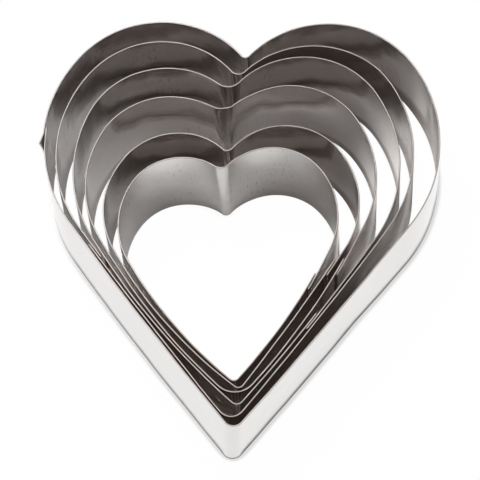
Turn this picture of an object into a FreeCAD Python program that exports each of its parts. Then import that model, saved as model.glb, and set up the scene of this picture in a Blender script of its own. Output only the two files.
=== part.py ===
import FreeCAD, Part
import math
import os
from FreeCAD import Vector

# A set of heart-shaped cookie cutters that stand loosely inside one another, largest first.
# Each cutter is one steel strip on edge, bent to a heart, lapped over itself and spot-welded.
# Millimetres, +Z up. The origin is the bottom centre of the largest cutter's box.

# Strip stock, the same for every cutter
strip_height = 30.0
strip_thickness = 0.4

# Widths across the lobes, at the middle of the strip's thickness
outer_width = 110.0
width_step = 10.0

# Lapped seam and the weld spots that hold its two layers together
lap_length = 5.0
lap_gap = 0.2
weld_diameter = 2.5
weld_clearance = 0.07
weld_height_shares = (0.2, 0.5, 0.8)

# Heart outline as shares of the cutter's own width, seen with the seam on the right-hand side.
# The tip is at the origin and the lobes lie towards +Y.
crown_radius_share = 0.262
crown_reach_share = 0.213
rise_shares = (0.764, 0.781, 0.781, 0.781, 0.767, 0.789)
shoulder_radius_shares = (0.383, 0.404, 0.447, 0.402, 0.365, 0.386)
seam_side_radius_shares = (11.8, 13.1, 7.1, 2.54, 7.6, 2.6)
far_side_radius_shares = (14.6, 11.4, 2.54, 2.4, 1.86, 2.2)
seam_run_shares = (-0.257, 0.08, 0.33, 0.19, 0.1, 0.18)

# Bends at the point and between the lobes
tip_radii = (2.9, 3.8, 1.95, 6.3, 1.5, 1.45)
notch_radii = (1.5, 2.6, 4.4, 8.9, 1.9, 4.5)

# Which side the seam is on, and which layer of the lap is the outer one: the end that comes
# from the lobe or the end that comes from the tip
seam_on_left = (True, True, False, False, False, False)
lobe_end_outside = (True, False, True, True, True, True)

# Where each cutter's tip stands, measured from the next larger cutter's tip
tip_gaps = (0.0, 2.7, 3.5, 3.55, 1.35, 2.0)
tip_sidesteps = (0.0, -0.75, 1.75, -0.15, 0.4, -1.2)

# How far the lobes stand to the seam's side of the tip, as the strip was bent, how far the
# crowns stand to that side of the shoulders, and how far the cutter's turn about its tip then
# carries its widest point to the left
lobe_leans = (-0.9, 2.8, 4.95, 3.9, 1.4, 3.15)
crown_leans = (-0.05, -0.3, 0.3, 0.4, 0.45, 0.35)
lobe_swings = (0.0, -2.1, 6.8, 7.1, 4.7, 6.05)


class Arc:
    # Arc about a centre. It runs anticlockwise where its end angle is the larger one.
    def __init__(self, centre, radius, begin, end):
        self.centre = centre
        self.radius = radius
        self.begin = begin
        self.end = end

    def point(self, angle, outward):
        way = 1 if self.end > self.begin else -1
        return self.centre + ray(angle) * (self.radius + way * outward)

    def first(self, outward):
        return self.point(self.begin, outward)

    def last(self, outward):
        return self.point(self.end, outward)

    def edge(self, outward):
        middle = self.point((self.begin + self.end) / 2, outward)
        return Part.Arc(self.first(outward), middle, self.last(outward)).toShape()


def ray(angle):
    return Vector(math.cos(angle), math.sin(angle), 0)


def bearing(start, stop):
    return math.atan2(stop.y - start.y, stop.x - start.x)


def after(angle, other):
    # The same bearing as angle, turned anticlockwise from other by less than one turn
    return other + (angle - other) % (2 * math.pi)


def anticlockwise(centre, radius, begin, end):
    return Arc(centre, radius, begin, after(end, begin))


def crossing(centre_a, radius_a, centre_b, radius_b):
    # Where two circles cross, on the left of the line from the first centre to the second
    between = centre_b - centre_a
    reach = between.Length
    along = (radius_a ** 2 - radius_b ** 2 + reach ** 2) / (2 * reach)
    across = math.sqrt(radius_a ** 2 - along ** 2)
    unit = between / reach
    return centre_a + unit * along + Vector(-unit.y, unit.x, 0) * across


def ribbon(path, thickness, height):
    # Solid of even thickness that follows a plan path
    half = thickness / 2
    edges = [piece.edge(half) for piece in path]
    edges.append(Part.LineSegment(path[-1].last(half), path[-1].last(-half)).toShape())
    edges += [piece.edge(-half) for piece in reversed(path)]
    edges.append(Part.LineSegment(path[0].first(-half), path[0].first(half)).toShape())
    wire = Part.Wire(Part.__sortEdges__(edges))
    return Part.Face(wire).extrude(Vector(0, 0, height))


class Heart:
    # Circles that make up one cutter's outline, with the seam on the right-hand side
    def __init__(self, index):
        width = outer_width - index * width_step
        self.tip_radius = tip_radii[index]
        self.shoulder_radius = width * shoulder_radius_shares[index]
        self.crown_radius = width * crown_radius_share
        self.seam_radius = width * seam_side_radius_shares[index]
        self.far_radius = width * far_side_radius_shares[index]
        self.seam_run = width * seam_run_shares[index]
        step = strip_thickness + lap_gap
        self.layer_step = step if lobe_end_outside[index] else -step

        # Lobes: a shoulder arc to the widest point and a crown arc that touches it from inside
        middle = lobe_leans[index]
        widest = width * rise_shares[index]
        self.turn_deg = math.degrees(math.asin(lobe_swings[index] / widest))
        shoulder_reach = width / 2 - self.shoulder_radius
        crown_reach = width * crown_reach_share
        crown_lean = crown_leans[index]
        radius_drop = self.shoulder_radius - self.crown_radius
        seam_rise = math.sqrt(radius_drop ** 2 - (crown_reach + crown_lean - shoulder_reach) ** 2)
        far_rise = math.sqrt(radius_drop ** 2 - (crown_reach - crown_lean - shoulder_reach) ** 2)
        self.seam_shoulder = Vector(middle + shoulder_reach, widest, 0)
        self.far_shoulder = Vector(middle - shoulder_reach, widest, 0)
        self.seam_crown = Vector(middle + crown_lean + crown_reach, widest + seam_rise, 0)
        self.far_crown = Vector(middle + crown_lean - crown_reach, widest + far_rise, 0)

        # The end that comes from the lobe lies one layer out or in, and so does its whole lobe.
        # The notch bend touches both crowns and takes up the step.
        self.seam_crown_radius = self.crown_radius + self.layer_step
        self.notch_radius = notch_radii[index]
        self.notch = crossing(self.far_crown, self.crown_radius + self.notch_radius,
                              self.seam_crown, self.seam_crown_radius + self.notch_radius)

        # Sides: large arcs that touch the tip bend and the shoulders from outside
        self.tip = Vector(0, self.tip_radius, 0)
        self.seam_side = crossing(self.tip, self.seam_radius - self.tip_radius,
                                  self.seam_shoulder, self.seam_radius - self.shoulder_radius)
        self.far_side = crossing(self.far_shoulder, self.far_radius - self.shoulder_radius,
                                 self.tip, self.far_radius - self.tip_radius)

    def seam_place(self, run):
        # Circle and bearing at a distance from the shoulder's end, down the side where positive
        corner = bearing(self.seam_side, self.seam_shoulder)
        if run < 0:
            return self.seam_shoulder, self.shoulder_radius, corner - run / self.shoulder_radius
        return self.seam_side, self.seam_radius, corner - run / self.seam_radius

    def lobe_end(self):
        # From the free end on the lobe's side of the seam up to the crown
        centre, radius, low = self.seam_place(self.seam_run + lap_length / 2)
        radius += self.layer_step
        pieces = []
        if centre is self.seam_side:
            corner = bearing(self.seam_side, self.seam_shoulder)
            pieces.append(anticlockwise(centre, radius, low, corner))
            low = corner
        crown = bearing(self.seam_shoulder, self.seam_crown)
        lobe_radius = self.shoulder_radius + self.layer_step
        pieces.append(anticlockwise(self.seam_shoulder, lobe_radius, low, crown))
        return pieces

    def top(self):
        # Crown, notch bend and crown
        begin = bearing(self.seam_shoulder, self.seam_crown)
        end = bearing(self.far_shoulder, self.far_crown)
        leave = bearing(self.seam_crown, self.notch)
        arrive = bearing(self.far_crown, self.notch)
        far_bend = arrive - math.pi
        return [
            anticlockwise(self.seam_crown, self.seam_crown_radius, begin, leave),
            Arc(self.notch, self.notch_radius, after(leave + math.pi, far_bend), far_bend),
            anticlockwise(self.far_crown, self.crown_radius, arrive, end),
        ]

    def tip_end(self):
        # Down the far side, round the tip and up to the free end on the tip's side of the seam
        crown = bearing(self.far_shoulder, self.far_crown)
        corner = bearing(self.far_side, self.far_shoulder)
        far_tip = bearing(self.far_side, self.tip)
        seam_tip = bearing(self.seam_side, self.tip)
        seam_corner = bearing(self.seam_side, self.seam_shoulder)
        centre, radius, high = self.seam_place(self.seam_run - lap_length / 2)
        side_end = high if centre is self.seam_side else seam_corner
        pieces = [
            anticlockwise(self.far_shoulder, self.shoulder_radius, crown, corner),
            anticlockwise(self.far_side, self.far_radius, corner, far_tip),
            anticlockwise(self.tip, self.tip_radius, far_tip, seam_tip),
            anticlockwise(self.seam_side, self.seam_radius, seam_tip, side_end),
        ]
        if centre is self.seam_shoulder:
            pieces.append(anticlockwise(centre, radius, seam_corner, high))
        return pieces

    def strip(self):
        return ribbon(self.lobe_end() + self.top() + self.tip_end(), strip_thickness, strip_height)

    def welds(self):
        # Round spots in the gap between the two layers, one above another up the seam
        centre, radius, middle = self.seam_place(self.seam_run)
        between = radius + self.layer_step / 2
        half_turn = weld_diameter / between
        path = [Arc(centre, between, middle - half_turn, middle + half_turn)]
        film = ribbon(path, lap_gap - 2 * weld_clearance, strip_height)
        spots = []
        for share in weld_height_shares:
            start = centre + ray(middle) * (between - lap_gap) + Vector(0, 0, share * strip_height)
            spot = Part.makeCylinder(weld_diameter / 2, 2 * lap_gap, start, ray(middle))
            spots.append(film.common(spot).Solids[0])
        return spots


def stand(shape, index, turn_deg, tip):
    # Turns a cutter about its tip and moves it to its place in the set
    placed = shape
    if seam_on_left[index]:
        placed = placed.mirror(Vector(0, 0, 0), Vector(1, 0, 0))
    placed.rotate(Vector(0, 0, 0), Vector(0, 0, 1), turn_deg)
    placed.translate(tip)
    return placed


os.makedirs("parts", exist_ok=True)
strips = []
welds = []
tip = Vector(0, 0, 0)
for index in range(len(rise_shares)):
    tip = tip + Vector(tip_sidesteps[index], tip_gaps[index], 0)
    heart = Heart(index)
    strips.append(stand(heart.strip(), index, heart.turn_deg, tip))
    welds.append([stand(spot, index, heart.turn_deg, tip) for spot in heart.welds()])

box = strips[0].optimalBoundingBox(False, False)
to_origin = Vector(-box.Center.x, -box.Center.y, 0)
for number, (strip, spots) in enumerate(zip(strips, welds), 1):
    strip.translate(to_origin)
    for spot in spots:
        spot.translate(to_origin)
    strip.exportStep(f"parts/cutter_{number}_strip.step")
    Part.makeCompound(spots).exportStep(f"parts/cutter_{number}_welds.step")
    print(f"cutter {number}: {strip.Volume:.1f} mm3, valid {strip.isValid()}, weld spots {len(spots)}")
for number in range(1, len(strips)):
    room = strips[number - 1].distToShape(strips[number])[0]
    print(f"room between cutters {number} and {number + 1}: {room:.2f} mm")
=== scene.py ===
import math

import bpy
import numpy as np
from mathutils import Matrix, Vector


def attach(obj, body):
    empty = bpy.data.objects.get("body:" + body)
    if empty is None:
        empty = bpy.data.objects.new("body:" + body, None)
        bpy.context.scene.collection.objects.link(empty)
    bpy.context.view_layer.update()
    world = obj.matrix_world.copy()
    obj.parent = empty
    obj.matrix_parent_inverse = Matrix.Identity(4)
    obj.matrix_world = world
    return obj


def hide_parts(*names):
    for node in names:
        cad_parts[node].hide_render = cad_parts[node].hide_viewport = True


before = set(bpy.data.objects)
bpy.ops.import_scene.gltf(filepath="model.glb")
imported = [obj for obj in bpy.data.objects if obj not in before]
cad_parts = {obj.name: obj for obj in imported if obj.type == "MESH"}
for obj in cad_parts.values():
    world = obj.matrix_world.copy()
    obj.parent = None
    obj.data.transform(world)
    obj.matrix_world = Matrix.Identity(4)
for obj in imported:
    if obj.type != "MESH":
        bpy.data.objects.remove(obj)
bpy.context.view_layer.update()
scene = bpy.context.scene
scene.view_settings.view_transform = "Standard"
scene.cycles.caustics_reflective = True     # bright walls throw light into the gaps
scene.cycles.blur_glossy = 0.0
scene.cycles.glossy_bounces = 10


# strip stock and seam, in metres, the same for every cutter
stock = {
    "thickness": 0.0004,
    "height": 0.030,
    "cornerRadius": 0.00013,     # cut edges, softened by tumbling
    "cornerSteps": 3,
    "alongStep": 0.0008,
    "turnStep": 0.07,            # radians, in tight bends
    "lapSteps": 3,               # so many times closer at the lapped ends
    "mergeShare": 20,            # runs nearer than this share of a step are one
    "upRows": 40,
    "lapLength": 0.005,
    "lapGap": 0.0002,
    "calmLaps": 3,               # waves fade out over so many laps from each end
    "crownRadius": 0.262,        # shares of the cutter's width
    "crownReach": 0.213,
    "lowFrom": (0.040, -0.020),  # depths between which a lower edge's shift grows
    "sharpAngle": 50.0,          # degrees
    "faceShift": 0.01,           # no two faces share a pattern of marks
}

# each heart, largest first: rise, shoulder, sides and seamRun are shares of its own width, leans of the
# sheen are in radians, and the rest is in metres. notchRim and notchFoot are the fold's radii at the two
# edges, where they differ from the plan's bend, and lowShift is how far the lower edge stands off.
cutters = [
    {"width": 0.110, "rise": 0.764, "lean": -0.0009, "crownLean": -0.00005, "shoulder": 0.383,
     "seamSide": 11.8, "farSide": 14.6, "seamRun": -0.257, "tipRadius": 0.0029, "notchRadius": 0.0015,
     "seamOnLeft": True, "lobeEndOutside": True, "tipStep": (0.0, 0.0), "swing": 0.0,
     "lowShift": (-0.0016, 0.0016), "waveSeed": 11, "backLean": -0.018,
     "ear": {"length": 0.0034, "height": 0.0085, "flare": 0.0010, "power": 1.3}},  # bent corner
    {"width": 0.100, "rise": 0.781, "lean": 0.0028, "crownLean": -0.0003, "shoulder": 0.404,
     "seamSide": 13.1, "farSide": 11.4, "seamRun": 0.08, "tipRadius": 0.0038, "notchRadius": 0.0026,
     "seamOnLeft": True, "lobeEndOutside": False, "tipStep": (-0.00075, 0.0027), "swing": -0.0021,
     "lowShift": (-0.0008, 0.0008), "waveSeed": 23, "backLean": 0.022},
    {"width": 0.090, "rise": 0.781, "lean": 0.00495, "crownLean": 0.0003, "shoulder": 0.447,
     "seamSide": 7.1, "farSide": 2.54, "seamRun": 0.33, "tipRadius": 0.00195, "notchRadius": 0.0044,
     "seamOnLeft": False, "lobeEndOutside": True, "tipStep": (0.00175, 0.0035), "swing": 0.0068,
     "lowShift": (-0.00062, 0.00062), "waveSeed": 37, "backLean": 0.066, "notchLean": 0.05,
     "notchFoot": 0.0022, "creaseShadeAndDull": 0.35},
    {"width": 0.080, "rise": 0.781, "lean": 0.0039, "crownLean": 0.0004, "shoulder": 0.402,
     "seamSide": 2.54, "farSide": 2.4, "seamRun": 0.19, "tipRadius": 0.0063, "notchRadius": 0.0089,
     "seamOnLeft": False, "lobeEndOutside": True, "tipStep": (-0.00015, 0.00355), "swing": 0.0071,
     "lowShift": (-0.00042, 0.00042), "waveSeed": 41, "backLean": 0.056, "notchLean": 0.09,
     "notchRim": 0.0036, "notchFoot": 0.0018, "creaseShadeAndDull": 0.6},
    {"width": 0.070, "rise": 0.767, "lean": 0.0014, "crownLean": 0.00045, "shoulder": 0.365,
     "seamSide": 7.6, "farSide": 1.86, "seamRun": 0.1, "tipRadius": 0.0015, "notchRadius": 0.0019,
     "seamOnLeft": False, "lobeEndOutside": True, "tipStep": (0.0004, 0.00135), "swing": 0.0047,
     "lowShift": (-0.0001, 0.0001), "waveSeed": 53, "backLean": 0.035, "notchLean": 0.03},
    {"width": 0.060, "rise": 0.789, "lean": 0.00315, "crownLean": 0.00035, "shoulder": 0.386,
     "seamSide": 2.6, "farSide": 2.2, "seamRun": 0.18, "tipRadius": 0.00145, "notchRadius": 0.0045,
     "seamOnLeft": False, "lobeEndOutside": True, "tipStep": (-0.0012, 0.0020), "swing": 0.00605,
     "lowShift": (0.0, -0.0008), "lowFrom": (-0.010, 0.020), "waveSeed": 67, "backLean": 0.0,
     "notchRim": 0.0028, "notchFoot": 0.0013, "creaseShadeAndDull": 0.16},
]


# angle of the line from one point to another
def bearing(start, stop):
    return math.atan2(stop[1] - start[1], stop[0] - start[0])


# the same angle, less than a full turn past the other one
def after(angle, other):
    return other + (angle - other) % (2 * math.pi)


# where two circles cross, on the left of the line between their centres
def crossing(centreA, radiusA, centreB, radiusB):
    between = centreB - centreA
    reach = math.hypot(*between)
    along = (radiusA ** 2 - radiusB ** 2 + reach ** 2) / (2 * reach)
    across = math.sqrt(radiusA ** 2 - along ** 2)
    unit = between / reach
    return centreA + unit * along + np.array([-unit[1], unit[0]]) * across


# plan path of one heart as touching arcs, rows of (centre x, centre y, radius, begin, end), from the
# free end at the lobe's side of the seam, over both lobes, round the tip and up to the other free end
def heartArcs(cutter, notchKey="notchRadius"):
    width, lean, crownLean = cutter["width"], cutter["lean"], cutter["crownLean"]
    shoulderR, crownR = cutter["shoulder"] * width, stock["crownRadius"] * width
    step = stock["thickness"] + stock["lapGap"]
    step = step if cutter["lobeEndOutside"] else -step
    seamR, farR = cutter["seamSide"] * width, cutter["farSide"] * width
    tipR, notchR = cutter["tipRadius"], cutter.get(notchKey, cutter["notchRadius"])
    widest, reach = cutter["rise"] * width, width / 2 - shoulderR
    crownReach, drop = stock["crownReach"] * width, shoulderR - crownR
    seamRise = math.sqrt(drop ** 2 - (crownReach + crownLean - reach) ** 2)
    farRise = math.sqrt(drop ** 2 - (crownReach - crownLean - reach) ** 2)
    seamShoulder, farShoulder = np.array([lean + reach, widest]), np.array([lean - reach, widest])
    seamCrown = np.array([lean + crownLean + crownReach, widest + seamRise])
    farCrown = np.array([lean + crownLean - crownReach, widest + farRise])
    notch = crossing(farCrown, crownR + notchR, seamCrown, crownR + step + notchR)
    tip = np.array([0, tipR])
    seamSide = crossing(tip, seamR - tipR, seamShoulder, seamR - shoulderR)
    farSide = crossing(farShoulder, farR - shoulderR, tip, farR - tipR)
    seamCorner = bearing(seamSide, seamShoulder)

    # arc and angle of a place on the seam's side, counted down from the end of the shoulder
    def seamPlace(run):
        if run < 0:
            return seamShoulder, shoulderR, seamCorner - run / shoulderR
        return seamSide, seamR, seamCorner - run / seamR

    arcs = []
    seamRun = cutter["seamRun"] * width
    centre, radius, low = seamPlace(seamRun + stock["lapLength"] / 2)
    if centre is seamSide:
        arcs.append((*centre, radius + step, low, after(seamCorner, low)))
        low = seamCorner
    crown = bearing(seamShoulder, seamCrown)
    arcs.append((*seamShoulder, shoulderR + step, low, after(crown, low)))
    leave, arrive = bearing(seamCrown, notch), bearing(farCrown, notch)
    arcs.append((*seamCrown, crownR + step, crown, after(leave, crown)))
    arcs.append((*notch, notchR, after(leave + math.pi, arrive - math.pi), arrive - math.pi))
    farTop = bearing(farShoulder, farCrown)
    arcs.append((*farCrown, crownR, arrive, after(farTop, arrive)))
    farCorner = bearing(farSide, farShoulder)
    arcs.append((*farShoulder, shoulderR, farTop, after(farCorner, farTop)))
    farTip, seamTip = bearing(farSide, tip), bearing(seamSide, tip)
    arcs.append((*farSide, farR, farCorner, after(farTip, farCorner)))
    arcs.append((*tip, tipR, farTip, after(seamTip, farTip)))
    centre, radius, high = seamPlace(seamRun - stock["lapLength"] / 2)
    seamEnd = high if centre is seamSide else seamCorner
    arcs.append((*seamSide, seamR, seamTip, after(seamEnd, seamTip)))
    if centre is seamShoulder:
        arcs.append((*seamShoulder, shoulderR, seamCorner, after(high, seamCorner)))
    return np.array(arcs)


# where each arc of a path begins, and where the last one ends: running sums of turn times radius
def arcStarts(arcs):
    return np.concatenate([[0], np.cumsum(np.abs(arcs[:, 4] - arcs[:, 3]) * arcs[:, 2])])


# which arc is the notch's bend: the one that turns the other way
def notchBend(arcs):
    return int(np.argmax(arcs[:, 4] < arcs[:, 3]))


# runs where the notch's bend begins and ends
def notchRuns(arcs):
    bend, starts = notchBend(arcs), arcStarts(arcs)
    return starts[bend], starts[bend + 1]


# point and outward side of the path at each run: centre plus radius times (cos, sin) of its angle
def walkArcs(arcs, run):
    starts = arcStarts(arcs)
    index = np.clip(np.searchsorted(starts, run, side="right") - 1, 0, len(arcs) - 1)
    centreX, centreY, radius, begin, end = arcs[index].T
    way = np.sign(end - begin)
    angle = begin + way * (run - starts[index]) / radius
    ray = np.stack([np.cos(angle), np.sin(angle)], 1)
    return np.stack([centreX, centreY], 1) + ray * radius[:, None], ray * way[:, None]


# runs close enough for each arc's bend, and closer still at the two lapped ends
def runsAlong(arcs):
    step, starts = stock["alongStep"], arcStarts(arcs)
    turns = np.abs(arcs[:, 4] - arcs[:, 3])
    lengths = turns * arcs[:, 2]
    counts = np.ceil(np.maximum(lengths / step, turns / stock["turnStep"])).astype(int) + 1
    runs = [np.linspace(0, 1, count, endpoint=False) * length + start
            for count, length, start in zip(counts, lengths, starts)]
    close = np.arange(0, 2 * stock["lapLength"], step / stock["lapSteps"])
    runs = np.sort(np.concatenate(runs + [[starts[-1]], close, starts[-1] - close]))
    apart = np.diff(runs) > step / stock["mergeShare"]
    return runs[np.concatenate([[True], apart])], starts[-1]


# section of the strip: a tall rectangle with quarter-circle corners, walked once round
def sectionRing():
    half, high, corner = stock["thickness"] / 2, stock["height"], stock["cornerRadius"]
    rise = np.linspace(0, 1, stock["upRows"]) * (high - 4 * corner) + 2 * corner
    wall = np.concatenate([[corner], rise, [high - corner]])
    turn = np.linspace(0, np.pi / 2, stock["cornerSteps"] + 1)[1:-1]
    roundX, roundZ = corner * np.cos(turn), corner * np.sin(turn)
    inX, topZ = half - corner, high - corner
    across = np.concatenate([
        np.full(len(wall), half), inX + roundX, [inX, 0, -inX], -inX - roundX[::-1],
        np.full(len(wall), -half), -inX - roundX, [-inX, 0, inX], inX + roundX[::-1]])
    up = np.concatenate([
        wall, topZ + roundZ, [high, high, high], topZ + roundZ[::-1],
        wall[::-1], corner - roundZ, [0, 0, 0], corner - roundZ[::-1]])
    edge = np.clip(1 - np.minimum(up, high - up) / corner, 0, 1)
    return across, up, edge


# slow waves of sheet that was bent by hand, and the lean and short ripples that its sheen shows
waves = {
    "lengths": (0.061, 0.034, 0.019, 0.011),
    "sizes": (0.00004, 0.00003, 0.0000175, 0.0000075),
    "rippleLengths": (0.031, 0.017, 0.0095, 0.0056),
    "rippleSizes": (0.0065, 0.005, 0.0035, 0.002),     # radians
    "rippleSeed": 5,
    "slant": 90.0,               # radians per metre up the wall
    "backFrom": 0.0,             # depths between which the lean of the back wall grows
    "backTo": 0.024,
    "sideShare": 0.4,            # ripples of the tight sides
    "notchReach": 0.007,
}


# height of the waves: sines of the run, passing from one set of phases to another up the wall
def sheetWave(cutter, run, up):
    dice = np.random.default_rng(cutter["waveSeed"])
    lengths, sizes = np.array(waves["lengths"]), np.array(waves["sizes"])
    low, high = dice.uniform(0, 2 * np.pi, (2, len(lengths)))
    share = (up / stock["height"])[None, :]
    lowWave = (sizes * np.sin(2 * np.pi * run[:, None] / lengths + low)).sum(1)[:, None]
    highWave = (sizes * np.sin(2 * np.pi * run[:, None] / lengths + high)).sum(1)[:, None]
    return lowWave * (1 - share) + highWave * share


# tilt of the sheen in radians: slanting sines of the run, plus the back wall's lean and a bell at the notch
def sheetTilt(cutter, arcs, run, up, deep):
    dice = np.random.default_rng(cutter["waveSeed"] + waves["rippleSeed"])
    lengths, sizes = waves["rippleLengths"], waves["rippleSizes"]
    phase = dice.uniform(0, 2 * np.pi, len(lengths))
    slant = dice.uniform(-1, 1, len(lengths)) * waves["slant"]
    tilt = np.zeros((len(run), len(up)))
    for length, size, start, slope in zip(lengths, sizes, phase, slant):
        tilt += size * np.sin(2 * np.pi * run[:, None] / length + start + slope * up[None, :])
    back = np.clip((deep - waves["backFrom"]) / (waves["backTo"] - waves["backFrom"]), 0, 1)
    back = back * back * (3 - 2 * back)
    begin, end = notchRuns(arcs)
    fromNotch = (run - (begin + end) / 2) / waves["notchReach"]
    lean = cutter["backLean"] + cutter.get("notchLean", 0.0) * np.exp(-fromNotch ** 2)[:, None]
    return tilt * (waves["sideShare"] + (1 - waves["sideShare"]) * back) + lean * back


# weld spots pressed into the lap
welds = {
    "heights": (0.2, 0.5, 0.8),  # shares of the strip's height
    "dishRadius": 0.0016,
    "dishDepth": 0.00007,
    "heatRadius": 0.0034,
}


# spread round each spot: a raised cosine of the distance from it
def weldSpread(run, up, lapRun, radius):
    spread = np.zeros((len(run), len(up)))
    for share in welds["heights"]:
        far = np.hypot(run[:, None] - lapRun, (up - share * stock["height"])[None, :]) / radius
        spread = np.maximum(spread, 0.5 + 0.5 * np.cos(np.pi * np.clip(far, 0, 1)))
    return spread


# folds of the notch are sharper than the bend of the plan, and sharper at the foot than at the rim
fold = {
    "reach": 0.008,
    "rimKeep": 1.0,              # share of the plan's own depth that is kept
    "footKeep": 0.6,
    "creaseReach": 0.0014,       # reach of the fold's line, which is rougher and darkened with painted shade
}


# path with its notch folded to another radius: the crowns then run further in, so the fold is set back
# by a bell over the run
def foldedPath(cutter, key, keep, arcs, run):
    folded = heartArcs(cutter, key)
    path, side = walkArcs(folded, np.interp(run, arcStarts(arcs), arcStarts(folded)))
    bend = notchBend(arcs)
    begin, end = notchRuns(arcs)
    deeper = arcs[bend, 1] - arcs[bend, 2] - folded[bend, 1] + folded[bend, 2]
    far = (run - (begin + end) / 2) / fold["reach"]
    path[:, 1] += keep * deeper * np.exp(-far ** 2)
    return path, side


# dullness and painted shade of the fold: a bell over the run, measured along the foot's fold
def creaseBell(cutter, arcs, run):
    begin, end = notchRuns(arcs)
    footBegin, footEnd = notchRuns(heartArcs(cutter, "notchFoot"))
    share = (run - begin) / (end - begin) * 2 - 1
    return np.exp(-(share * (footEnd - footBegin) / 2 / fold["creaseReach"]) ** 2)


# from a cutter's own frame, tip at the origin, to its place in the set
def placeInSet(cutter, plan, tip, centre):
    turned = plan * np.array([-1.0, 1.0]) if cutter["seamOnLeft"] else plan
    turn = math.asin(cutter["swing"] / (cutter["rise"] * cutter["width"]))
    cos, sin = math.cos(turn), math.sin(turn)
    return turned @ np.array([[cos, sin], [-sin, cos]]) + tip - centre


# middle of a cutter's box, from points along both faces
def planCentre(cutter, count=8000):
    arcs = heartArcs(cutter)
    path, side = walkArcs(arcs, np.linspace(0, arcStarts(arcs)[-1], count))
    reach = side * stock["thickness"] / 2
    both = np.concatenate([path + reach, path - reach])
    both = placeInSet(cutter, both, np.zeros(2), np.zeros(2))
    return (both.min(0) + both.max(0)) / 2


# plan of the strip's surface: path(run) plus side(run) times the offset, from the foot's fold to the rim's,
# with the lower edge shifted towards the front or the back of the set
def stripPlan(cutter, arcs, run, up, offset, tip, centre):
    rimPath, rimSide = foldedPath(cutter, "notchRim", fold["rimKeep"], arcs, run)
    footPath, footSide = foldedPath(cutter, "notchFoot", fold["footKeep"], arcs, run)
    rimPlan = rimPath[:, None, :] + rimSide[:, None, :] * offset[..., None]
    footPlan = footPath[:, None, :] + footSide[:, None, :] * offset[..., None]
    plan = footPlan + (rimPlan - footPlan) * (up / stock["height"])[None, :, None]
    plan = placeInSet(cutter, plan.reshape(-1, 2), tip, centre).reshape(plan.shape)
    still, full = cutter.get("lowFrom", stock["lowFrom"])
    part = np.clip((plan[..., 1] - still) / (full - still), 0, 1)
    part = part * (1 - up / stock["height"])[None, :]
    return plan + part[..., None] * np.array(cutter["lowShift"])


# shell of a closed grid: runs by ring points, with a flat cap on both ends
def ringMesh(name, points, attributes):
    runs, ring = points.shape[:2]
    i, j = np.meshgrid(np.arange(runs - 1), np.arange(ring), indexing="ij")
    beside = (j + 1) % ring
    quads = np.stack([i * ring + j, i * ring + beside, (i + 1) * ring + beside, (i + 1) * ring + j], -1)
    quads = quads.reshape(-1, 4)
    flat = points.reshape(-1, 3)
    a, b, c, d = (flat[quads[:, k]] for k in range(4))
    volume = np.einsum("ij,ij->i", a, np.cross(b, c) + np.cross(c, d)).sum()
    caps = [np.arange(ring)[::-1], np.arange(ring) + (runs - 1) * ring]
    if volume < 0:               # inside out
        quads = quads[:, ::-1]
        caps = [cap[::-1] for cap in caps]
    mesh = bpy.data.meshes.new(name)
    mesh.from_pydata(flat, [], quads.tolist() + [cap.tolist() for cap in caps])
    for key, values in attributes.items():
        kind, field = ("FLOAT_VECTOR", "vector") if values.ndim == 3 else ("FLOAT", "value")
        layer = mesh.attributes.new(key, kind, "POINT")
        layer.data.foreach_set(field, values.astype(np.float32).ravel())
    mesh.shade_smooth()
    mesh.set_sharp_from_angle(angle=math.radians(stock["sharpAngle"]))
    piece = bpy.data.objects.new(name, mesh)
    scene.collection.objects.link(piece)
    return piece


# strip: point(run, turn) = path(run) + side(run) times (across(turn) + wave + dish + ear), lifted by
# up(turn). Its attributes are onStrip (run, height, face), the masks, and the tilt of the sheen.
def stripPiece(number, cutter, tip, centre):
    arcs = heartArcs(cutter)
    run, total = runsAlong(arcs)
    across, up, edge = sectionRing()
    lobeLap, tipLap = stock["lapLength"] / 2, total - stock["lapLength"] / 2
    lobeDish = weldSpread(run, up, lobeLap, welds["dishRadius"]) * welds["dishDepth"]
    tipDish = weldSpread(run, up, tipLap, welds["dishRadius"]) * welds["dishDepth"]
    outward = 1 if cutter["lobeEndOutside"] else -1
    dish = outward * (tipDish * (across * outward < 0) - lobeDish * (across * outward > 0))
    calm = np.minimum(run, total - run) / (stock["calmLaps"] * stock["lapLength"])
    calm = np.clip(calm, 0, 1)[:, None]
    offset = across[None, :] + sheetWave(cutter, run, up) * calm + dish
    if "ear" in cutter:
        ear = cutter["ear"]
        near = 1 - run[:, None] / ear["length"] - (stock["height"] - up)[None, :] / ear["height"]
        offset = offset + ear["flare"] * np.clip(near, 0, None) ** ear["power"]
    plan = stripPlan(cutter, arcs, run, up, offset, tip, centre)
    grid = np.ones((len(run), len(up)))
    points = np.concatenate([plan, (grid * up)[..., None]], 2)
    heat = np.maximum(weldSpread(run, up, lobeLap, welds["heatRadius"]),
                      weldSpread(run, up, tipLap, welds["heatRadius"]))
    face = number + np.sign(across) * stock["faceShift"]
    tilt = -sheetTilt(cutter, arcs, run, up, plan[..., 1]) * calm * np.sign(across) * (1 - edge)
    inside = grid * (across < 0)
    # painted shade in the notch's fold, which is also made rougher
    creaseShadeAndDull = creaseBell(cutter, arcs, run)[:, None] * cutter.get("creaseShadeAndDull", 0.0) * inside
    return ringMesh(f"cutter{number}Strip", points, {
        "onStrip": np.stack([grid * run[:, None], grid * up, grid * face], 2),
        "cutEdge": grid * edge,
        "weldHeat": heat,
        "sheetLean": np.stack([0 * tilt, 0 * tilt, tilt], 2),
        "inside": inside,
        "creaseShadeAndDull": creaseShadeAndDull,
    })


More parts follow.
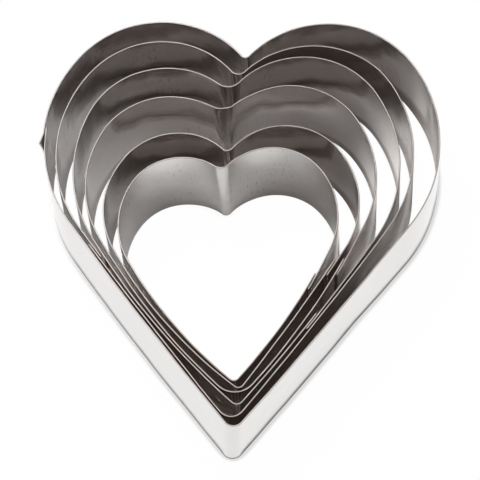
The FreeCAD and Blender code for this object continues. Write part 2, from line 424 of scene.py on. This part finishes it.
# shader maths: one socket with the operators that the finishes use
class Value:
    def __init__(self, tree, socket):
        self.tree, self.socket = tree, socket

    def mathNode(self, operation, *values):
        node = self.tree.nodes.new("ShaderNodeMath")
        node.operation = operation
        for slot, value in zip(node.inputs, values):
            if isinstance(value, Value):
                self.tree.links.new(value.socket, slot)
            else:
                slot.default_value = value
        return Value(self.tree, node.outputs[0])

    def __add__(self, other):
        return self.mathNode("ADD", self, other)

    def __radd__(self, other):
        return self.mathNode("ADD", other, self)

    def __sub__(self, other):
        return self.mathNode("SUBTRACT", self, other)

    def __rsub__(self, other):
        return self.mathNode("SUBTRACT", other, self)

    def __mul__(self, other):
        return self.mathNode("MULTIPLY", self, other)

    def __rmul__(self, other):
        return self.mathNode("MULTIPLY", other, self)

    def __pow__(self, other):
        return self.mathNode("POWER", self, other)

    def clamp(self):
        return self.mathNode("MINIMUM", self.mathNode("MAXIMUM", self, 0.0), 1.0)

    # 0 at the level and 1 where it is passed by one over the gain
    def above(self, level, gain):
        return ((self - level) * gain).clamp()

    # 0 at the start and 1 at the stop, whichever is larger
    def ramp(self, start, stop):
        return self.above(start, 1 / (stop - start))


# nodes of one material, or of the world
class Finish:
    def __init__(self, holder):
        self.holder = holder
        holder.use_nodes = True
        self.tree = holder.node_tree
        self.tree.nodes.clear()

    # any node by its type, its settings and the values or links of its sockets
    def node(self, kind, settings=None, sockets=None, out=0):
        node = self.tree.nodes.new(kind)
        for key, value in (settings or {}).items():
            setattr(node, key, value)
        for key, value in (sockets or {}).items():
            if isinstance(value, Value):
                self.tree.links.new(value.socket, node.inputs[key])
            else:
                node.inputs[key].default_value = value
        return Value(self.tree, node.outputs[out])

    def attribute(self, name, out="Fac"):
        return self.node("ShaderNodeAttribute", {"attribute_name": name}, {}, out)

    def rayIs(self, kind):
        return self.node("ShaderNodeLightPath", {}, {}, kind)

    def colourMix(self, factor, first, second):
        return self.node("ShaderNodeMix", {"data_type": "RGBA"}, {0: factor, 6: first, 7: second}, 2)

    def surface(self, shader):
        isWorld = isinstance(self.holder, bpy.types.World)
        kind = "ShaderNodeOutputWorld" if isWorld else "ShaderNodeOutputMaterial"
        self.tree.links.new(shader.socket, self.tree.nodes.new(kind).inputs["Surface"])


# bright rolled stainless strip, with handling marks
stripSteel = {
    "bright": (0.742, 0.729, 0.719, 1),
    "stain": (0.70, 0.665, 0.64, 1),
    "cutEdge": (0.235, 0.22, 0.216, 1),
    "heat": (0.52, 0.42, 0.35, 1),
    # dark colour of real dashes and scratches, and of the painted shade at the outer foot and in the fold
    "grimeAndShade": (0.06, 0.053, 0.05, 1),
    "paintedGlow": (0.0042, 0.0029, 0.0024, 1),     # painted glow: faint emission that keeps the deep gaps from going black
    "metallic": 0.93,
    "roughness": 0.055,
    "hazeRoughness": 0.07,
    "markRoughness": 0.1,
    "footRoughness": 0.3,
    "creaseRoughness": 0.4,
    "edgeRoughness": 0.42,
    "footShadeHeight": 0.0010,       # painted shade: dark line along the outside's lower edge, where it meets the table
    "footShadeFade": 0.0003,
    "heatShare": 0.7,
    "dentBump": 0.10,
    "dentDepth": 0.0006,
    "rollBump": 0.05,
    "rollDepth": 0.0001,
    "rollHaze": 0.5,             # share of the haze in it
}

# marks as noise: how many in a metre of run and of height, the noise's detail and its roughness
stripMarks = {
    "lines": (9.0, 2600.0, 4.0, 0.6),
    "haze": (70.0, 160.0, 5.0, 0.65),
    "hatch": (1500.0, 45.0, 2.0, 0.55),
    "dents": (210.0, 120.0, 2.0, 0.4),
    "patches": (45.0, 60.0, 1.0, 0.55),
    "dashes": (1900.0, 330.0, 1.0, 0.55),
    "scratches": (190.0, 2200.0, 1.0, 0.55),
    "faceApart": 7.0,
    "noiseMiddle": 0.5,
    "hazeStep": (0.42, 3.2),     # level and gain
    "patchStep": (0.52, 9.0),
    "dashStep": (0.60, 10.0),
    "scratchStep": (0.66, 12.0),
    "hazeWear": 0.5,
    "lineWear": 0.4,
    "hatchWear": 0.5,
    "dashShade": 0.30,
    "scratchShade": 0.22,
}


def stripFinish():
    look, mark = stripSteel, stripMarks
    f = Finish(bpy.data.materials.new("stripSteel"))
    place = f.attribute("onStrip", "Vector")
    edge, heat = f.attribute("cutEdge").clamp(), f.attribute("weldHeat").clamp()
    inside, creaseShadeAndDull = f.attribute("inside").clamp(), f.attribute("creaseShadeAndDull").clamp()
    up = f.node("ShaderNodeSeparateXYZ", {}, {"Vector": place}, "Y")
    straight = f.node("ShaderNodeNewGeometry", {}, {}, "Normal")
    tilt = f.attribute("sheetLean", "Vector")
    leant = f.node("ShaderNodeVectorMath", {"operation": "ADD"}, {0: straight, 1: tilt})
    leant = f.node("ShaderNodeVectorMath", {"operation": "NORMALIZE"}, {0: leant})

    # noise stretched along the run and up the wall
    def marks(key):
        along, upward, detail, harsh = mark[key]
        scale = (along, upward, mark["faceApart"])
        spread = f.node("ShaderNodeMapping", {}, {"Vector": place, "Scale": scale})
        sockets = {"Vector": spread, "Scale": 1.0, "Detail": detail, "Roughness": harsh}
        return f.node("ShaderNodeTexNoise", {}, sockets)

    lines, haze, hatch = marks("lines"), marks("haze"), marks("hatch")
    patch = marks("patches").above(*mark["patchStep"])
    dashes = marks("dashes").above(*mark["dashStep"]) * patch * inside
    scratches = marks("scratches").above(*mark["scratchStep"]) * (1 - patch) * inside
    dull = haze.above(*mark["hazeStep"])
    lined, hatched = lines - mark["noiseMiddle"], hatch - mark["noiseMiddle"]
    worn = dull * mark["hazeWear"] + lined * mark["lineWear"] + hatched * mark["hatchWear"]
    steel = f.colourMix(worn.clamp(), look["bright"], look["stain"])
    # painted shade: the fold is darkened towards the dark colour, beside the real dashes and scratches
    shade = dashes * mark["dashShade"] + scratches * mark["scratchShade"] + creaseShadeAndDull
    marked = f.colourMix(shade.clamp(), steel, look["grimeAndShade"])
    warm = f.colourMix(heat * look["heatShare"], marked, look["heat"])
    # painted shade: the outside's lowest millimetre is darkened, as where the strip meets the table
    foot = up.ramp(look["footShadeHeight"], look["footShadeHeight"] - look["footShadeFade"]) * (1 - inside)
    shaded = f.colourMix(foot, warm, look["grimeAndShade"])
    colour = f.colourMix(edge * (1 - foot), shaded, look["cutEdge"])

    wall = look["roughness"] + dull * look["hazeRoughness"] + (dashes + scratches) * look["markRoughness"]
    wall = wall + foot * look["footRoughness"] + creaseShadeAndDull * look["creaseRoughness"]
    rough = wall * (1 - edge) + edge * look["edgeRoughness"]
    dents = {"Height": marks("dents"), "Strength": look["dentBump"], "Distance": look["dentDepth"]}
    slow = f.node("ShaderNodeBump", {}, {**dents, "Normal": leant})
    relief = lines + haze * look["rollHaze"]
    rolled = {"Height": relief, "Strength": look["rollBump"], "Distance": look["rollDepth"]}
    bump = f.node("ShaderNodeBump", {}, {**rolled, "Normal": slow})
    # painted glow in the emission, for the deep gaps
    f.surface(f.node("ShaderNodeBsdfPrincipled", {}, {
        "Base Color": colour, "Metallic": look["metallic"], "Roughness": rough, "Normal": bump,
        "Emission Color": look["paintedGlow"], "Emission Strength": 1.0}))
    return f.holder


# strips in their places, each on its own body
steel = stripFinish()
centre = planCentre(cutters[0])
tip = np.zeros(2)
for number, cutter in enumerate(cutters, 1):
    tip = tip + np.array(cutter["tipStep"])
    piece = stripPiece(number, cutter, tip, centre)
    piece.data.materials.append(steel)
    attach(piece, f"cutter_{number}")
    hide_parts(f"cutter_{number}_strip", f"cutter_{number}_welds")
    print("strip", number, len(piece.data.polygons), "faces")


# pale table, plain white to the camera, with a thin shade at the foot of the cutters. Openness is 1 far
# from any wall. A span is where a share begins and where it is whole, in openness or in metres.
table = {
    "size": 2.4,
    "cells": 8,
    "colour": (0.90, 0.90, 0.90, 1),
    "white": (1, 1, 1, 1),
    "cameraWhite": 0.99,
    "samples": 16,
    "footReach": 0.003,
    "footSpan": (0.73, 0.65),    # shade of the outer walls' feet
    "outsideSpan": (0.36, 0.42),
    "footShade": 0.29,
    "lineSpan": (0.61, 0.55),    # dark line that the outer walls mirror at their feet
    "lineDark": 0.80,
    "darkSpan": (0.86, 0.78),    # shade of the feet in the gaps
    "gapSpan": (0.24, 0.16),
    "footDark": (0.32, 0.285, 0.27, 1),
    "openReach": 0.10,
    "openSpan": (0.20, 0.465),   # the steel mirrors white where the table lies open to the room
    "openPower": 1.72,
    "wideIn": (0.09, 17.0),      # and the wide gaps a little: level and gain
    "wideOut": (0.26, -17.0),
    "wideLift": 0.08,
    "widestSpan": (0.14, 0.17),
    "widestLift": 0.06,
    "leastLift": 0.022,          # no gap is quite black
    "frontSpan": (-0.025, -0.005),
    "backSpan": (0.048, 0.040),
    "leftSpan": (-0.022, -0.038),     # the set's flanks are mirrored lighter
    "leftLift": 0.24,
    "rightSpan": (0.022, 0.038),
    "rightLift": 0.14,
    "flankSpare": 0.7,           # share of the dark feet that the flanks are spared
    "lobeNear": (0.0, 0.006),    # and the floor before the smallest right lobe darker
    "lobeFar": (0.022, 0.016),
    "lobeShade": 0.2,
}


# flat square grid at height 0
def tablePiece():
    half, cells = table["size"] / 2, table["cells"]
    row = cells + 1
    marks = np.linspace(-half, half, row)
    across, deep = np.meshgrid(marks, marks, indexing="ij")
    points = np.stack([across, deep, 0 * across], -1).reshape(-1, 3)
    i, j = np.meshgrid(np.arange(cells), np.arange(cells), indexing="ij")
    quads = np.stack([i * row + j, (i + 1) * row + j, (i + 1) * row + j + 1, i * row + j + 1], -1)
    mesh = bpy.data.meshes.new("table")
    mesh.from_pydata(points, [], quads.reshape(-1, 4).tolist())
    piece = bpy.data.objects.new("table", mesh)
    scene.collection.objects.link(piece)
    return piece


def tableFinish():
    look = table
    f = Finish(bpy.data.materials.new("paleTable"))

    def openness(reach):
        settings = {"samples": look["samples"]}
        return f.node("ShaderNodeAmbientOcclusion", settings, {"Distance": reach}, "AO")

    near, around = openness(look["footReach"]), openness(look["openReach"])
    outside = around.ramp(*look["outsideSpan"])
    foot, line = near.ramp(*look["footSpan"]) * outside, near.ramp(*look["lineSpan"]) * outside
    dark = near.ramp(*look["darkSpan"]) * around.ramp(*look["gapSpan"])
    place = f.node("ShaderNodeTexCoord", {}, {}, "Object")
    aside = f.node("ShaderNodeSeparateXYZ", {}, {"Vector": place}, "X")
    deep = f.node("ShaderNodeSeparateXYZ", {}, {"Vector": place}, "Y")
    between = deep.ramp(*look["frontSpan"]) * deep.ramp(*look["backSpan"])
    left, right = aside.ramp(*look["leftSpan"]) * between, aside.ramp(*look["rightSpan"]) * between
    lobe = aside.ramp(*look["lobeNear"]) * aside.ramp(*look["lobeFar"]) * between
    # painted light and painted shade: the table's glow that the steel mirrors is set by openness and place,
    # lighter on the flanks and in wide gaps, darker at the feet and before the right lobe
    lit = around.ramp(*look["openSpan"]) ** look["openPower"] * (1 - lobe * look["lobeShade"])
    wide = around.above(*look["wideIn"]) * around.above(*look["wideOut"])
    wide = wide * (look["wideLift"] + around.ramp(*look["widestSpan"]) * look["widestLift"])
    lifted = (lit + left * look["leftLift"] + right * look["rightLift"] + wide).clamp()
    spared = (left + right) * look["flankSpare"]
    mirrored = lifted * (1 - dark * (1 - spared)) + look["leastLift"]
    mirrored = mirrored * (1 - line * look["lineDark"])

    seen = f.rayIs("Is Camera Ray") * look["cameraWhite"] * (1 - foot * look["footShade"])
    share = seen + (f.rayIs("Is Glossy Ray") + f.rayIs("Is Transmission Ray")) * mirrored
    # painted shade: the table's own colour is darker at the feet in the gaps
    shadow = f.colourMix(dark, look["colour"], look["footDark"])
    matte = f.node("ShaderNodeBsdfDiffuse", {}, {"Color": shadow})
    white = f.node("ShaderNodeEmission", {}, {"Color": look["white"], "Strength": 1.0})
    f.surface(f.node("ShaderNodeMixShader", {}, {0: share.clamp(), 1: matte, 2: white}))
    return f.holder


floor = tablePiece()
floor.data.materials.append(tableFinish())
print("table laid")


# a soft box behind, above and to the left, and a dim warm room with a white background
studio = {
    "place": (-0.195, 0.357, 0.914),
    "size": (0.21, 0.16),
    "power": 7.9,
    "colour": (1.0, 0.975, 0.95),
    "room": 0.06,
    "roomColour": (1.25, 0.92, 0.78, 1),
    "background": 1.0,
    "backgroundColour": (1, 1, 1, 1),
}


def softBox():
    lamp = bpy.data.lights.new("softBox", "AREA")
    lamp.shape, lamp.energy = "RECTANGLE", studio["power"]
    lamp.size, lamp.size_y = studio["size"]
    lamp.color = studio["colour"]
    box = bpy.data.objects.new("softBox", lamp)
    aim = Vector(studio["place"]).to_track_quat("Z", "Y").to_matrix().to_4x4()
    box.matrix_world = Matrix.Translation(studio["place"]) @ aim
    scene.collection.objects.link(box)


# the steel shows the background in its first reflection, and the room after that
def roomLight():
    f = Finish(bpy.data.worlds.new("room"))
    mirror = f.rayIs("Is Glossy Ray") * (2 - f.rayIs("Ray Depth")).clamp()
    seen = (f.rayIs("Is Camera Ray") + f.rayIs("Is Transmission Ray") + mirror).clamp()
    strength = seen * (studio["background"] - studio["room"]) + studio["room"]
    colour = f.colourMix(seen, studio["roomColour"], studio["backgroundColour"])
    f.surface(f.node("ShaderNodeBackground", {}, {"Color": colour, "Strength": strength}))
    scene.world = f.holder


softBox()
roomLight()
print("studio lit")


# camera at the photograph's place: pixels are of a 480 by 480 picture
photoCamera = {
    "place": (0.03996, -0.36509, 0.84880),
    "heading": -6.317,           # degrees from +Y
    "downTilt": 66.220,
    "roll": -5.849,
    "focalPixels": 3259.0,
    "framePixels": 480.0,
    "sensorWidth": 36.0,
    "clip": (0.01, 20.0),
}


def aimCamera():
    look = photoCamera
    heading, tilt, roll = (math.radians(look[key]) for key in ("heading", "downTilt", "roll"))
    level = math.cos(tilt)
    ahead = np.array([math.sin(heading) * level, math.cos(heading) * level, -math.sin(tilt)])
    beside = np.cross(ahead, [0, 0, 1])
    beside /= np.linalg.norm(beside)
    above = np.cross(beside, ahead)
    right = math.cos(roll) * beside + math.sin(roll) * above
    upward = -math.sin(roll) * beside + math.cos(roll) * above
    camera = bpy.data.cameras.new("photoCamera")
    camera.sensor_fit, camera.sensor_width = "HORIZONTAL", look["sensorWidth"]
    camera.lens = look["sensorWidth"] * look["focalPixels"] / look["framePixels"]
    camera.clip_start, camera.clip_end = look["clip"]
    holder = bpy.data.objects.new("photoCamera", camera)
    turn = np.eye(4)
    turn[:3] = np.stack([right, upward, -ahead, look["place"]], 1)
    holder.matrix_world = Matrix(turn.tolist())
    scene.collection.objects.link(holder)
    scene.camera = holder


aimCamera()
bpy.context.view_layer.update()
